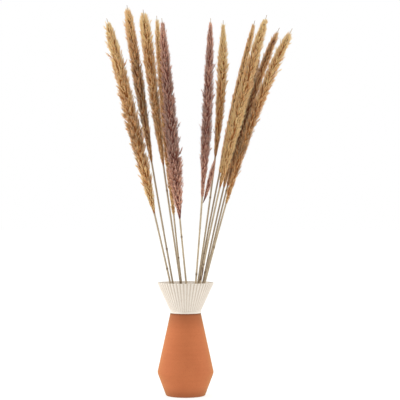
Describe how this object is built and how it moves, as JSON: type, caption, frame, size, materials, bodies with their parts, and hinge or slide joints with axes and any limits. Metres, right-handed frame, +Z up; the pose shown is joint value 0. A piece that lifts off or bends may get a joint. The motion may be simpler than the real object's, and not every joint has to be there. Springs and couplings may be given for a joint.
{
  "type": "dried pampas grass in a vase",
  "caption": "Dried pampas and reed plumes on tall thin stems, standing in a small terracotta vase with a fluted cream collar.",
  "frame": {"origin": "centre of the vase's foot, on the surface it stands on", "axes": "+Z up, -Y towards the front, +X to the right seen from the front"},
  "size_m": [0.3258, 0.1428, 0.694],
  "materials": {
    "terracotta": "matt unglazed earthenware",
    "cream_bisque": "matt cream bisque",
    "dried_stem": "dry straw, slightly satin",
    "plume_tan": "dry fibrous seed plume, golden tan",
    "plume_brown": "dry fibrous seed plume, brown",
    "plume_mauve": "dry fibrous seed plume, mauve brown"
  },
  "bodies": {
    "root": {"vase_body": "terracotta", "vase_collar": "cream_bisque", "stem_01": "dried_stem", "stem_02": "dried_stem", "stem_03": "dried_stem", "stem_04": "dried_stem", "stem_05": "dried_stem", "stem_06": "dried_stem", "stem_07": "dried_stem", "stem_08": "dried_stem", "stem_09": "dried_stem", "stem_10": "dried_stem", "stem_11": "dried_stem", "stem_12": "dried_stem", "plume_01": "plume_tan", "plume_02": "plume_brown", "plume_03": "plume_tan", "plume_04": "plume_tan", "plume_05": "plume_mauve", "plume_06": "plume_mauve", "plume_07": "plume_tan", "plume_08": "plume_brown", "plume_09": "plume_tan", "plume_10": "plume_brown", "plume_11": "plume_tan", "plume_12": "plume_brown", "side_sprig": "plume_mauve"}
  },
  "joints": []
}
